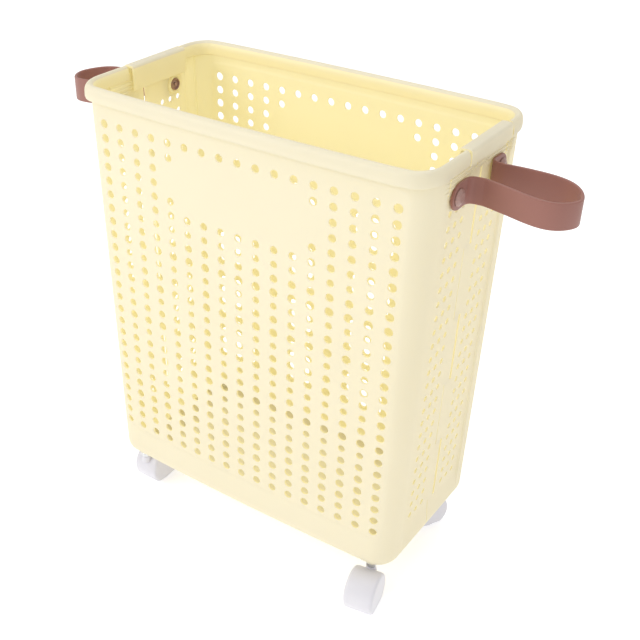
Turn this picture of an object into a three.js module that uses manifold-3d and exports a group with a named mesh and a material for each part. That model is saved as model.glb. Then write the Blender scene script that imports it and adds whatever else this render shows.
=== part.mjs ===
// Tall, slim laundry basket on four casters.
//
// Two moulded half shells meet in a stepped seam down the middle of each end wall.
// A saddle clip ties them together at each end of the rim, a floor tray closes the bottom,
// and a flexible strap handle is riveted across the seam at each end.
//
// Millimetres. +X runs along the long side, -Y is the front, +Z is up.
// The origin is on the floor, midway between the casters.

import * as THREE from 'three';
import { mergeVertices } from 'three/addons/utils/BufferGeometryUtils.js';
import Module from 'manifold-3d';

const wasm = await Module();
wasm.setup();

// ---- Driving dimensions -------------------------------------------------------------------

const GAP = 0.3; // clearance kept between neighbouring pieces

// Basket shell
const RIM_TOP = 520.6;
const SHELL_BOTTOM = 52;
const TOP_HALF_WIDTH = 202.6; // outer wall, at the rim
const END_WALL_LEAN = 0.022; // how far each end wall moves in, per millimetre down
const HALF_DEPTH = 97; // outer wall at the ends of the long sides
const LONG_SIDE_BOW = 3; // extra depth at the middle of a long side
const CORNER_RADIUS = 27;
const WALL = 2.5;
const BOTTOM_FILLET = 14;
const END_PANEL_HALF = 63; // half width of the sunken panel in each end wall
const END_PANEL_DEPTH = 2;
const END_PANEL_EDGE = 3; // width of the sloping edge round that panel

// Rolled rim
const RIM_HEIGHT = 15;
const RIM_OVERHANG = 7; // along the long sides
const RIM_END_OVERHANG = 1.6;
const RIM_INNER_LIP = 4.2; // how far the rim reaches in from the outer face of the wall
const RIM_END_LIP = 9;
const RIM_SKIN = 2.2;
const WALL_TOP = 512; // the wall stands this high inside the saddle clips

// Stepped seam in the end walls
const SEAM_FIRST_STEP = 99;
const SEAM_PITCH = 79;
const TONGUE_EDGE = 4; // a tongue ends here, past the middle
const SLOT_EDGE = 7; // the open slot beside a tongue ends here
const CLOSED_EDGE = 7.5; // the closed joint lies this far back from the middle

// Floor
const FLANGE_HALF_X = 144; // the opening in the moulded floor
const FLANGE_HALF_Y = 60;
const TRAY_HALF_X = 174;
const TRAY_HALF_Y = 80.5;
const TRAY_THICKNESS = 2.5;
const TRAY_LIP = 7;

// Rim saddle clips
const CLIP_FRONT = -28; // the clips lie a little behind the middle of the ends
const CLIP_REAR = 58;
const CLIP_OUTER_BOTTOM = 505.6;
const CLIP_INNER_BOTTOM = 494;
const CLIP_SKIN = 2.2;

// Strap handles
const RIVET_Y = 44;
const HANDLE_Z = 482;
const STRAP_WIDTH = 26;
const STRAP_THICKNESS = 3;
const TAB_END_Y = 55;
const FLEX_X = 220; // the loop flexes on its two ends here
const RIVET_SHANK = 2.3;
const RIVET_HEAD = 8;
const RIVET_HEAD_HEIGHT = 2.8;
const RIVET_CAP_HEIGHT = 2.6;

// Casters
const CASTER_X = 165.5;
const CASTER_Y = 80;
const CASTER_TRAIL = 18.8;
const WHEEL_RADIUS = 21.5;
const WHEEL_WIDTH = 13.6;
const HOOD_RADIUS = 24;
const HOOD_HALF_WIDTH = 17.2;
const HOOD_CAVITY_RADIUS = 22.3;
const HOOD_SIDE_SKIN = 1.5;
const HOOD_WEB = 3;
const HOOD_BOTTOM = 5;
const NECK_RADIUS = 5.6;
const NECK_TOP = 43;
const AXLE_RADIUS = 2;
const STEM_RADIUS = 3.8;
const STEM_BOTTOM = 39.2;
const STEM_TOP = 59;
const COLLAR_RADIUS = 6.2;
const COLLAR_TOP = 49.4;
const SOCKET_RADIUS = 5.6;
const SOCKET_FLANGE_RADIUS = 7.4;
const SOCKET_BOTTOM = 49.7;
const SOCKET_TOP = 61.8;

// Each caster's place, and the heading in degrees in which its wheels trail behind the stem.
const CASTERS = [
  { name: 'front_right', x: 1, y: -1, heading: -80 },
  { name: 'front_left', x: -1, y: -1, heading: 90 },
  { name: 'rear_right', x: 1, y: 1, heading: -120 },
  { name: 'rear_left', x: -1, y: 1, heading: 100 },
];

// ---- Materials ----------------------------------------------------------------------------

const plastic = (color, roughness) => new THREE.MeshStandardMaterial({ color, roughness, metalness: 0 });
const creamPlastic = () => plastic(0xf6ecc6, 0.42);
const mauveStrap = () => plastic(0x9c5a4c, 0.55);
const mauveRivet = () => plastic(0xa8786c, 0.3);
const whiteNylon = () => plastic(0xecebf3, 0.35);
const zincMetal = () => new THREE.MeshStandardMaterial({ color: 0xb9bcc0, roughness: 0.22, metalness: 1 });

// ---- Solids -------------------------------------------------------------------------------

/** A closed three.js geometry as a solid that can be joined and cut. */
function solid(geometry) {
  const bare = geometry.index ? geometry.toNonIndexed() : geometry.clone();
  bare.deleteAttribute('normal');
  bare.deleteAttribute('uv');
  const merged = mergeVertices(bare, 1e-4);
  return new wasm.Manifold(new wasm.Mesh({
    numProp: 3,
    vertProperties: Float32Array.from(merged.attributes.position.array),
    triVerts: Uint32Array.from(merged.index.array),
  }));
}

/** A solid back as a three.js geometry. */
function geometryOf(body) {
  const { numProp, vertProperties, triVerts } = body.getMesh();
  const positions = new Float32Array((vertProperties.length / numProp) * 3);
  for (let i = 0; i < positions.length / 3; i += 1) {
    for (let axis = 0; axis < 3; axis += 1) {
      positions[i * 3 + axis] = vertProperties[i * numProp + axis];
    }
  }
  const geometry = new THREE.BufferGeometry();
  geometry.setAttribute('position', new THREE.BufferAttribute(positions, 3));
  geometry.setIndex(Array.from(triVerts));
  geometry.computeVertexNormals();
  return geometry;
}

const group = new THREE.Group();

/** Adds one named piece to the model, or to a placed group inside it. */
function addPiece(name, body, material, parent = group) {
  const mesh = new THREE.Mesh(geometryOf(body), material);
  mesh.name = name;
  parent.add(mesh);
  return mesh;
}

const box = (x0, x1, y0, y1, z0, z1) => solid(
  new THREE.BoxGeometry(x1 - x0, y1 - y0, z1 - z0)
    .translate((x0 + x1) / 2, (y0 + y1) / 2, (z0 + z1) / 2),
);

/** A plan outline, extruded from z0 up to z1. */
const upright = (points, z0, z1) => solid(
  new THREE.ExtrudeGeometry(new THREE.Shape(points), { depth: z1 - z0, bevelEnabled: false })
    .translate(0, 0, z0),
);

/** An outline of [y, z] points, extruded along X from x0 to x1. */
const alongX = (points, x0, x1) => solid(
  new THREE.ExtrudeGeometry(new THREE.Shape(points), { depth: x1 - x0, bevelEnabled: false })
    .applyMatrix4(new THREE.Matrix4().set(0, 0, 1, x0, 1, 0, 0, 0, 0, 1, 0, 0, 0, 0, 0, 1)),
);

/** A turned solid about the Z axis, from a closed profile of [radius, z] pairs. */
function turned(profile, segments) {
  const points = profile.map(([radius, z]) => new THREE.Vector2(radius, z));
  const closed = profile[0][0] > 0 ? [...points, points[0].clone()] : points;
  return solid(new THREE.LatheGeometry(closed, segments).rotateX(Math.PI / 2));
}

const cylinder = (radius, z0, z1, segments) => turned([[0, z0], [radius, z0], [radius, z1], [0, z1]], segments);

/** A body turned so that what pointed up now points along +X. */
const layAlongX = (body) => body.rotate([0, 90, 0]);

// ---- Basket outline -----------------------------------------------------------------------

const halfWidthAt = (z) => TOP_HALF_WIDTH - END_WALL_LEAN * (RIM_TOP - z);

/** Depth of the inward rounding at the foot of the walls, at height z. */
function filletInset(z) {
  const drop = Math.max(0, SHELL_BOTTOM + BOTTOM_FILLET - z);
  return BOTTOM_FILLET - Math.sqrt(BOTTOM_FILLET ** 2 - Math.min(drop, BOTTOM_FILLET) ** 2);
}

/**
 * Plan outline of the walls at the rim, grown outwards by `grow`: a rounded rectangle whose
 * long sides bow out, and whose ends step in over the sunken end panels where `panel` is set.
 */
function wallOutline(grow, panel) {
  const cornerSteps = 6;
  const sideSteps = 8;
  const radius = CORNER_RADIUS + grow;
  const cornerX = TOP_HALF_WIDTH - CORNER_RADIUS;
  const cornerY = HALF_DEPTH - CORNER_RADIUS;
  const quarter = [];
  if (panel) {
    const sunk = TOP_HALF_WIDTH + grow - END_PANEL_DEPTH;
    quarter.push([sunk, END_PANEL_HALF]);
    quarter.push([TOP_HALF_WIDTH + grow, END_PANEL_HALF + END_PANEL_EDGE]);
  }
  for (let i = 0; i <= cornerSteps; i += 1) {
    const angle = (i / cornerSteps) * (Math.PI / 2);
    quarter.push([cornerX + radius * Math.cos(angle), cornerY + radius * Math.sin(angle)]);
  }
  for (let i = 1; i <= sideSteps / 2; i += 1) {
    const x = cornerX * (1 - i / (sideSteps / 2));
    quarter.push([x, HALF_DEPTH + grow + LONG_SIDE_BOW * (1 - (x / cornerX) ** 2)]);
  }
  const upperHalf = [...quarter, ...quarter.slice(0, -1).reverse().map(([x, y]) => [-x, y])];
  const outline = [...upperHalf, ...upperHalf.slice().reverse().map(([x, y]) => [x, -y])];
  return outline.map(([x, y]) => new THREE.Vector2(x, y));
}

/**
 * A solid of the wall outline through the heights in `levels`. It narrows towards the floor
 * with the end walls, is drawn in at each level by `insetAt(z)`, and grows by `endGrow` at the ends.
 */
function walled(grow, levels, insetAt, panel = true, endGrow = grow) {
  const steps = levels.length - 1;
  const shape = new THREE.Shape(wallOutline(grow, panel));
  const geometry = new THREE.ExtrudeGeometry(shape, { depth: steps, steps, bevelEnabled: false });
  const position = geometry.attributes.position;
  for (let i = 0; i < position.count; i += 1) {
    const z = levels[Math.round(position.getZ(i))];
    const inset = insetAt(z);
    const scaleX = (halfWidthAt(z) + endGrow - inset) / (TOP_HALF_WIDTH + grow);
    const scaleY = (HALF_DEPTH + grow - inset) / (HALF_DEPTH + grow);
    position.setXYZ(i, position.getX(i) * scaleX, position.getY(i) * scaleY, z);
  }
  return solid(geometry);
}

// ---- Shells -------------------------------------------------------------------------------

/** The heights at which the rounded foot of the walls is drawn. */
const footLevels = (lift) => [0, 0.15, 0.4, 1].map((part) => SHELL_BOTTOM + lift + part * BOTTOM_FILLET);

/** The thin-walled body, open at the top, with an opening in its floor. */
function basketBody() {
  const outside = walled(0, [...footLevels(0), WALL_TOP], filletInset);
  const inside = walled(-WALL, [...footLevels(WALL), RIM_TOP], (z) => filletInset(z - WALL));
  const opening = box(-FLANGE_HALF_X, FLANGE_HALF_X, -FLANGE_HALF_Y, FLANGE_HALF_Y, 0, SHELL_BOTTOM + 2 * WALL);
  return outside.subtract(inside).subtract(opening);
}

/** The rolled rim: a rounded bead, hollow below, that overhangs the walls. */
function rolledRim() {
  const rimBottom = RIM_TOP - RIM_HEIGHT;
  const roundings = [[0, 2.5], [0.25, 0.4], [0.6, 0], [0.85, 1.8], [1, 5]];
  const levels = roundings.map(([part]) => rimBottom + part * RIM_HEIGHT);
  const insetAt = (z) => roundings[levels.indexOf(z)][1];
  const bead = walled(RIM_OVERHANG, levels, insetAt, false, RIM_END_OVERHANG);
  const bore = walled(-RIM_INNER_LIP, [rimBottom - 1, RIM_TOP + 1], () => 0, false, -RIM_END_LIP);
  const hollowLevels = [rimBottom - 1, RIM_TOP - 2 * RIM_SKIN - 1];
  const hollow = walled(RIM_OVERHANG - RIM_SKIN, hollowLevels, () => 0, false, RIM_END_OVERHANG - RIM_SKIN);
  const core = walled(0, [rimBottom - 2, RIM_TOP], () => 0, false);
  return bead.subtract(bore).subtract(hollow.subtract(core));
}

/** The two gaps in the rim that the saddle clips fill. */
function clipGaps() {
  const front = CLIP_FRONT - GAP;
  const rear = CLIP_REAR + GAP;
  const rimBottom = RIM_TOP - RIM_HEIGHT;
  const above = box(-260, 260, front, rear, WALL_TOP, RIM_TOP + 1);
  const wallFace = TOP_HALF_WIDTH - END_PANEL_DEPTH;
  const outside = (side) => box(
    Math.min(side * wallFace, side * 260), Math.max(side * wallFace, side * 260), front, rear, rimBottom - 1, RIM_TOP,
  );
  const innerFace = wallFace - WALL - 1;
  const inside = box(-innerFace, innerFace, front, rear, rimBottom - 1, RIM_TOP);
  return above.add(outside(1)).add(outside(-1)).add(inside);
}

/**
 * Everything in front of the stepped seam, on the side x > 0. Tongues of the front shell reach
 * past the middle on every other step, and tongues of the rear shell on the steps between.
 */
function inFrontOfSeam(tongue, closed) {
  const points = [new THREE.Vector2(-300, 0), new THREE.Vector2(closed, 0)];
  let edge = closed;
  for (let z = SEAM_FIRST_STEP; z < WALL_TOP; z += SEAM_PITCH) {
    points.push(new THREE.Vector2(edge, z));
    edge = edge === closed ? tongue : closed;
    points.push(new THREE.Vector2(edge, z));
  }
  points.push(new THREE.Vector2(edge, 600), new THREE.Vector2(-300, 600));
  return alongX(points, 0, 300);
}

/** Space of the front shell: each end's seam is the other's, turned half a turn about Z. */
function frontSpace() {
  const rightEnd = inFrontOfSeam(TONGUE_EDGE, -CLOSED_EDGE);
  const turnedPast = inFrontOfSeam(SLOT_EDGE, -CLOSED_EDGE + GAP).rotate([0, 0, 180]);
  const leftEnd = box(-300, 0, -300, 300, 0, 600).subtract(turnedPast);
  return rightEnd.add(leftEnd);
}

/** Holes for the rivets and the caster sockets. */
function shellHoles() {
  const holes = [];
  for (const y of [-RIVET_Y, RIVET_Y]) {
    holes.push(layAlongX(cylinder(RIVET_SHANK + GAP, -260, 260, 12)).translate([0, y, HANDLE_Z]));
  }
  for (const { x, y } of CASTERS) {
    holes.push(cylinder(SOCKET_RADIUS + GAP, 0, 80, 12).translate([x * CASTER_X, y * CASTER_Y, 0]));
  }
  return holes.reduce((all, hole) => all.add(hole));
}

function addShells() {
  const whole = basketBody().add(rolledRim()).subtract(clipGaps()).subtract(shellHoles());
  const front = whole.intersect(frontSpace());
  addPiece('front_shell', front, creamPlastic());
  addPiece('rear_shell', whole.intersect(frontSpace().rotate([0, 0, 180])), creamPlastic());
}

// ---- Floor tray ---------------------------------------------------------------------------

/** The tray lies on the shells' floor flange, and its holes let the caster sockets through. */
function addFloorTray() {
  const bottom = SHELL_BOTTOM + WALL + GAP;
  const plan = (halfX, halfY, cut) => [
    [halfX - cut, halfY], [-halfX + cut, halfY], [-halfX, halfY - cut], [-halfX, -halfY + cut],
    [-halfX + cut, -halfY], [halfX - cut, -halfY], [halfX, -halfY + cut], [halfX, halfY - cut],
  ].map(([x, y]) => new THREE.Vector2(x, y));
  const cornerCut = 12;
  const outside = upright(plan(TRAY_HALF_X, TRAY_HALF_Y, cornerCut), bottom, bottom + TRAY_LIP);
  const inside = upright(
    plan(TRAY_HALF_X - TRAY_THICKNESS, TRAY_HALF_Y - TRAY_THICKNESS, cornerCut),
    bottom + TRAY_THICKNESS,
    bottom + TRAY_LIP + 1,
  );
  let tray = outside.subtract(inside);
  for (const { x, y } of CASTERS) {
    const boss = cylinder(SOCKET_RADIUS + 2, bottom + TRAY_THICKNESS - GAP, SOCKET_TOP, 12);
    const bore = cylinder(SOCKET_RADIUS + GAP, 0, 80, 12);
    const place = [x * CASTER_X, y * CASTER_Y, 0];
    tray = tray.add(boss.translate(place)).subtract(bore.translate(place));
  }
  addPiece('floor_tray', tray, creamPlastic());
}

// ---- Rim saddle clips ---------------------------------------------------------------------

/** A saddle over the rim at one end, with a deep outer apron and an inner plate. */
function addRimClip(name, side) {
  const outerX = TOP_HALF_WIDTH + RIM_END_OVERHANG + 0.4;
  const innerX = TOP_HALF_WIDTH - RIM_END_LIP - 3;
  const rounding = 4.5;
  const outside = [
    [outerX, CLIP_OUTER_BOTTOM], [outerX, RIM_TOP - rounding], [outerX - 1.3, RIM_TOP - 1.3],
    [outerX - rounding, RIM_TOP], [innerX + rounding, RIM_TOP], [innerX + 1.3, RIM_TOP - 1.3],
    [innerX, RIM_TOP - rounding], [innerX, CLIP_INNER_BOTTOM],
  ];
  const inside = [
    [innerX + CLIP_SKIN, CLIP_INNER_BOTTOM], [innerX + CLIP_SKIN, RIM_TOP - rounding],
    [innerX + rounding, RIM_TOP - CLIP_SKIN - 0.5], [outerX - rounding, RIM_TOP - CLIP_SKIN - 0.5],
    [outerX - CLIP_SKIN, RIM_TOP - rounding], [outerX - CLIP_SKIN, CLIP_OUTER_BOTTOM],
  ];
  const section = [...outside, ...inside].map(([x, z]) => new THREE.Vector2(x, z));
  const saddle = solid(
    new THREE.ExtrudeGeometry(new THREE.Shape(section), { depth: CLIP_REAR - CLIP_FRONT, bevelEnabled: false })
      .rotateX(Math.PI / 2)
      .translate(0, CLIP_REAR, 0),
  );
  addPiece(name, side > 0 ? saddle : saddle.mirror([1, 0, 0]), creamPlastic());
}

// ---- Strap handles ------------------------------------------------------------------------

/** Outer face of the sunken end panel at the height of the handles. */
const PANEL_X = halfWidthAt(HANDLE_Z) - END_PANEL_DEPTH;
const TAB_X = PANEL_X + GAP;
const HEAD_X = TAB_X + STRAP_THICKNESS + GAP;

/** Plan outline of a strap of the handle's thickness along a smooth line through `points`. */
function strapPlan(points, divisions) {
  const line = new THREE.SplineCurve(points.map(([x, y]) => new THREE.Vector2(x, y)));
  const outer = [];
  const inner = [];
  for (let i = 0; i <= divisions; i += 1) {
    const here = line.getPoint(i / divisions);
    const along = line.getTangent(i / divisions);
    const across = new THREE.Vector2(-along.y, along.x).multiplyScalar(STRAP_THICKNESS / 2);
    outer.push(here.clone().add(across));
    inner.push(here.clone().sub(across));
  }
  return [...inner, ...outer.reverse()];
}

/** The part of the strap that lies on the wall under its rivet, and bends away from it. */
function strapEnd() {
  const half = STRAP_WIDTH / 2;
  const outline = new THREE.Shape();
  outline.moveTo(-30, -half);
  outline.lineTo(-30, half);
  outline.lineTo(-TAB_END_Y + half, half);
  outline.absarc(-TAB_END_Y + half, 0, half, Math.PI / 2, Math.PI * 1.5, false);
  const tab = alongX(outline.getPoints(6), TAB_X, TAB_X + STRAP_THICKNESS).translate([0, 0, HANDLE_Z]);
  const middle = TAB_X + STRAP_THICKNESS / 2;
  const bend = upright(
    strapPlan([[middle, -32], [middle + 0.4, -27], [middle + 4, -22.5], [FLEX_X, -21.3], [FLEX_X + 3, -21.5]], 10),
    HANDLE_Z - half,
    HANDLE_Z + half,
  );
  const hole = layAlongX(cylinder(RIVET_SHANK + GAP, TAB_X - 1, HEAD_X, 12)).translate([0, -RIVET_Y, HANDLE_Z]);
  const beyondFlex = box(FLEX_X - GAP, FLEX_X + 9, -40, 0, HANDLE_Z - STRAP_WIDTH, HANDLE_Z + STRAP_WIDTH);
  return tab.add(bend).subtract(hole).subtract(beyondFlex);
}

/** The free loop of the strap, widest just before its tip. */
function strapLoop() {
  const frontHalf = [[FLEX_X - 4, -20.9], [FLEX_X, -21.3], [238, -24.5], [262, -28.8], [279, -26.3], [291, -16]];
  const rearHalf = frontHalf.slice().reverse().map(([x, y]) => [x, -y]);
  const plan = strapPlan([...frontHalf, [295.5, 0], ...rearHalf], 30);
  const beforeFlex = box(FLEX_X - 9, FLEX_X, -40, 40, HANDLE_Z - STRAP_WIDTH, HANDLE_Z + STRAP_WIDTH);
  return upright(plan, HANDLE_Z - STRAP_WIDTH / 2, HANDLE_Z + STRAP_WIDTH / 2).subtract(beforeFlex);
}

/** A rivet: a low faceted head outside, and a shank through the strap and the wall. */
function rivet() {
  const tip = PANEL_X - WALL - RIVET_CAP_HEIGHT - HEAD_X;
  const profile = [
    [0, tip], [RIVET_SHANK, tip], [RIVET_SHANK, 0], [RIVET_HEAD, 0], [RIVET_HEAD, 0.9],
    [RIVET_HEAD - 2.4, RIVET_HEAD_HEIGHT], [0, RIVET_HEAD_HEIGHT],
  ];
  return layAlongX(turned(profile, 12)).translate([HEAD_X, 0, 0]);
}

/** The ring that snaps on the rivet's shank inside the wall. */
function rivetCap() {
  const bore = RIVET_SHANK + GAP;
  const profile = [
    [bore, -RIVET_CAP_HEIGHT], [RIVET_HEAD - 1, -RIVET_CAP_HEIGHT], [RIVET_HEAD, -0.8],
    [RIVET_HEAD, 0], [bore, 0],
  ];
  return layAlongX(turned(profile, 12)).translate([PANEL_X - WALL - GAP, 0, 0]);
}

function addHandle(end, side) {
  const turn = side > 0 ? [0, 0, 0] : [0, 0, 180];
  const firstRivet = side > 0 ? 'front' : 'rear';
  const secondRivet = side > 0 ? 'rear' : 'front';
  addPiece(`${end}_handle_${firstRivet}_end`, strapEnd().rotate(turn), mauveStrap());
  addPiece(`${end}_handle_${secondRivet}_end`, strapEnd().mirror([0, 1, 0]).rotate(turn), mauveStrap());
  addPiece(`${end}_handle_loop`, strapLoop().rotate(turn), mauveStrap());
  for (const [row, y] of [['front', -RIVET_Y], ['rear', RIVET_Y]]) {
    const place = [0, y, HANDLE_Z];
    addPiece(`${end}_${row}_rivet`, rivet().rotate(turn).translate(place), mauveRivet());
    addPiece(`${end}_${row}_rivet_cap`, rivetCap().rotate(turn).translate(place), mauveRivet());
  }
}

// ---- Casters ------------------------------------------------------------------------------
// Each caster is built with its stem on the Z axis, trailing along +X, its axle along Y.

const WHEEL_INNER = HOOD_WEB / 2 + GAP;

/** A body turned so that what pointed up now points along +Y. */
const layAlongY = (body) => body.rotate([-90, 0, 0]);
const atAxle = (body) => body.translate([CASTER_TRAIL, 0, WHEEL_RADIUS]);

/** The hood: a drum with rounded edges over both wheels, open below, with a neck for the stem. */
function hood() {
  const edge = 3.2;
  const flat = HOOD_HALF_WIDTH - edge;
  const drumProfile = [
    [0, -HOOD_HALF_WIDTH], [HOOD_RADIUS - edge, -HOOD_HALF_WIDTH], [HOOD_RADIUS - 1, -flat - 1],
    [HOOD_RADIUS, -flat], [HOOD_RADIUS, flat], [HOOD_RADIUS - 1, flat + 1],
    [HOOD_RADIUS - edge, HOOD_HALF_WIDTH], [0, HOOD_HALF_WIDTH],
  ];
  const drum = atAxle(layAlongY(turned(drumProfile, 24)));
  const neck = cylinder(NECK_RADIUS, WHEEL_RADIUS + 2, NECK_TOP, 16);
  const belowHood = box(-60, 60, -40, 40, -10, HOOD_BOTTOM);
  const wheelSpace = atAxle(layAlongY(
    cylinder(HOOD_CAVITY_RADIUS, HOOD_WEB / 2, HOOD_HALF_WIDTH - HOOD_SIDE_SKIN, 24),
  ));
  const axleHole = atAxle(layAlongY(
    cylinder(AXLE_RADIUS + GAP, -HOOD_HALF_WIDTH + 0.8, HOOD_HALF_WIDTH - 0.8, 8),
  ));
  const stemHole = cylinder(STEM_RADIUS + GAP, STEM_BOTTOM - GAP, NECK_TOP + 1, 12);
  return drum.add(neck).subtract(belowHood)
    .subtract(wheelSpace).subtract(wheelSpace.mirror([0, 1, 0]))
    .subtract(axleHole).subtract(stemHole);
}

/** One of the two wheels, on the side y > 0. */
function wheel() {
  const bore = AXLE_RADIUS + GAP;
  const chamfer = 1.2;
  const end = WHEEL_INNER + WHEEL_WIDTH;
  const profile = [
    [bore, WHEEL_INNER], [WHEEL_RADIUS - chamfer, WHEEL_INNER], [WHEEL_RADIUS, WHEEL_INNER + chamfer],
    [WHEEL_RADIUS, end - chamfer], [WHEEL_RADIUS - chamfer, end], [bore, end],
  ];
  return atAxle(layAlongY(turned(profile, 28)));
}

function axle() {
  const half = HOOD_HALF_WIDTH - 0.8 - GAP;
  return atAxle(layAlongY(cylinder(AXLE_RADIUS, -half, half, 8)));
}

/** The steel stem, with the collar that bears on the hood's neck. */
function stem() {
  return turned([
    [0, STEM_BOTTOM], [STEM_RADIUS, STEM_BOTTOM], [STEM_RADIUS, NECK_TOP + GAP],
    [COLLAR_RADIUS, NECK_TOP + GAP], [COLLAR_RADIUS, COLLAR_TOP], [STEM_RADIUS, COLLAR_TOP],
    [STEM_RADIUS, STEM_TOP], [0, STEM_TOP],
  ], 12);
}

/** The socket that is pressed up through the floor and holds the stem. */
function stemSocket() {
  const bore = STEM_RADIUS + GAP;
  return turned([
    [bore, SOCKET_BOTTOM], [SOCKET_FLANGE_RADIUS, SOCKET_BOTTOM], [SOCKET_FLANGE_RADIUS, SHELL_BOTTOM - GAP],
    [SOCKET_RADIUS, SHELL_BOTTOM - GAP], [SOCKET_RADIUS, SOCKET_TOP], [0, SOCKET_TOP],
    [0, SOCKET_TOP - 2], [bore, SOCKET_TOP - 2],
  ], 12);
}

function addCaster({ name, x, y, heading }) {
  const place = new THREE.Group();
  place.position.set(x * CASTER_X, y * CASTER_Y, 0);
  place.rotation.z = THREE.MathUtils.degToRad(heading);
  group.add(place);
  addPiece(`${name}_stem_socket`, stemSocket(), creamPlastic(), place);
  addPiece(`${name}_caster_stem`, stem(), zincMetal(), place);
  addPiece(`${name}_caster_hood`, hood(), whiteNylon(), place);
  addPiece(`${name}_caster_axle`, axle(), zincMetal(), place);
  addPiece(`${name}_left_wheel`, wheel(), whiteNylon(), place);
  addPiece(`${name}_right_wheel`, wheel().mirror([0, 1, 0]), whiteNylon(), place);
}

// ---- Assembly -----------------------------------------------------------------------------

addShells();
addFloorTray();
addRimClip('right_rim_clip', 1);
addRimClip('left_rim_clip', -1);
addHandle('right', 1);
addHandle('left', -1);
CASTERS.forEach(addCaster);

export default group;
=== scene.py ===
"""A tall, slim laundry basket on four casters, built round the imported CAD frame.

Two perforated half shells meet in a stepped seam in each end wall. Saddle clips tie them at
the rim, a tray closes the floor, and a riveted strap handle crosses the seam at each end.

Metres. +X runs along the long side, -Y is the front, +Z is up, and the floor is z = 0.
"""

import math

import bmesh
import bpy
from mathutils import Matrix, Vector


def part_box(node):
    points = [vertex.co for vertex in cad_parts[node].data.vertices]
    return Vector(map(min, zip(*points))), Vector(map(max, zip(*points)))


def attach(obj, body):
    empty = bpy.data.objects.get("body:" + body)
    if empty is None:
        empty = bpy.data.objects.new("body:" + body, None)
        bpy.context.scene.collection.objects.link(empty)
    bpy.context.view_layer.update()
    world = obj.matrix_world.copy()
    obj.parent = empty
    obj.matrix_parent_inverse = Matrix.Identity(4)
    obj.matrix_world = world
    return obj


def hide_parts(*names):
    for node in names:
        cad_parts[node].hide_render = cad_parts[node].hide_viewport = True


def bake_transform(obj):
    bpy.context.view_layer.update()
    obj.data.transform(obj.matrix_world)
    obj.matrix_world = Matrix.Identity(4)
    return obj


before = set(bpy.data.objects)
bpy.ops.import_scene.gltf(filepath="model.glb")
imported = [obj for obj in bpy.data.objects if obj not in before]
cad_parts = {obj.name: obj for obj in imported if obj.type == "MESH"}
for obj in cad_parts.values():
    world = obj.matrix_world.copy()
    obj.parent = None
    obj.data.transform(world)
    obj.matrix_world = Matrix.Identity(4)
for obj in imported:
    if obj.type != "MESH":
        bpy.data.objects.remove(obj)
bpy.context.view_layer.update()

# ---- Driving dimensions ----------------------------------------------------------------------

# Basket shell, as in the CAD
RIM_TOP = 0.5206
SHELL_BOTTOM = 0.0535
TOP_HALF_WIDTH = 0.2026
END_WALL_LEAN = 0.022  # how far each end wall moves in, per metre down
HALF_DEPTH = 0.097
LONG_SIDE_BOW = 0.003
CORNER_RADIUS = 0.027
CORNER_X = TOP_HALF_WIDTH - CORNER_RADIUS
CORNER_Y = HALF_DEPTH - CORNER_RADIUS
LAST_LONG_X = 0.1821  # the long side's stations run this far to each side, at every height
WALL = 0.0025
BOTTOM_FILLET = 0.014
WALL_TOP = 0.512
FLANGE_HALF_X = 0.144
FLANGE_HALF_Y = 0.060

# Sunken panel of each end wall, and the shallow border of each long side
END_PANEL_HALF = 0.063
END_PANEL_DEPTH = 0.0025
END_PANEL_EDGE = 0.0016  # width of the slope round the panel
PANEL_FOOT = 0.067  # the panel fades in between these two heights
PANEL_FULL = 0.098
BORDER_HALF_X = 0.1815
BORDER_BOTTOM = 0.0983
BORDER_TOP = 0.4985
BORDER_RADIUS = 0.010
BORDER_DEPTH = 0.0005
BORDER_EDGE = 0.0006

# Perforations
ROW_PITCH = 0.015625
COLUMN_PITCH = 0.0215
ROWS = 25
COLUMNS = 17
FIRST_ROW_Z = 0.4823
HOLE_EDGE = 0.0004  # chamfer round each hole
SIDE_HOLE_RADIUS = 0.0046  # outermost columns and lowest rows
TOP_HOLE_RADIUS = 0.0042
LOW_HOLE_RADIUS = 0.0049
MIDDLE_HOLE_RADII = (0.00395, 0.00445, 0.0049)  # repeated down the rows between
END_COLUMNS = (0.0225, 0.03575, 0.049)
END_CELL_HALF = 0.0053
END_HOLE_RADIUS = 0.0032
FIRST_END_ROW = 2

# Stepped seam
SEAM_FIRST_STEP = 0.099
SEAM_PITCH = 0.079
TONGUE_EDGE = 0.004
SLOT_EDGE = 0.0078
CLOSED_EDGE = 0.0075
SEAM_STRIP = 0.0125
SEAM_GAP = 0.0009

# Rolled rim
RIM_BOTTOM = 0.5056
RIM_LIP_LONG = 0.0032
RIM_LIP_END = 0.0075
RIM_OVERHANG_LONG = 0.0090
RIM_OVERHANG_END = 0.0016
RIM_SKIN = 0.0022
RIM_SPRING = RIM_BOTTOM + 0.0058  # where the bead's dome starts

# Saddle clips
CLIP_FRONT = -0.028  # the clips lie a little behind the middle of the ends
CLIP_REAR = 0.058
CLIP_SLIT = 0.0022
CLIP_OUTER_X = 0.2044
CLIP_INNER_X = 0.1906
CLIP_OUTER_BOTTOM = 0.5056
CLIP_INNER_BOTTOM = 0.494
CLIP_SKIN = 0.0022
CLIP_ROUNDING = 0.0034

# Strap handles
RIVET_Y = 0.044
HANDLE_Z = 0.482
STRAP_WIDTH = 0.026
STRAP_THICKNESS = 0.003
TAB_END_Y = 0.055
FLEX_X = 0.220
STRAP_DROOP = 0.0056
LOOP_TIP_X = 0.2972
TAB_SEAT_DEPTH = 0.002  # the tabs lie this far below the plain outline of the end wall
PANEL_X = TOP_HALF_WIDTH - END_WALL_LEAN * (RIM_TOP - HANDLE_Z) - TAB_SEAT_DEPTH
TAB_X = PANEL_X + 0.0003
HEAD_X = TAB_X + STRAP_THICKNESS + 0.0003

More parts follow.
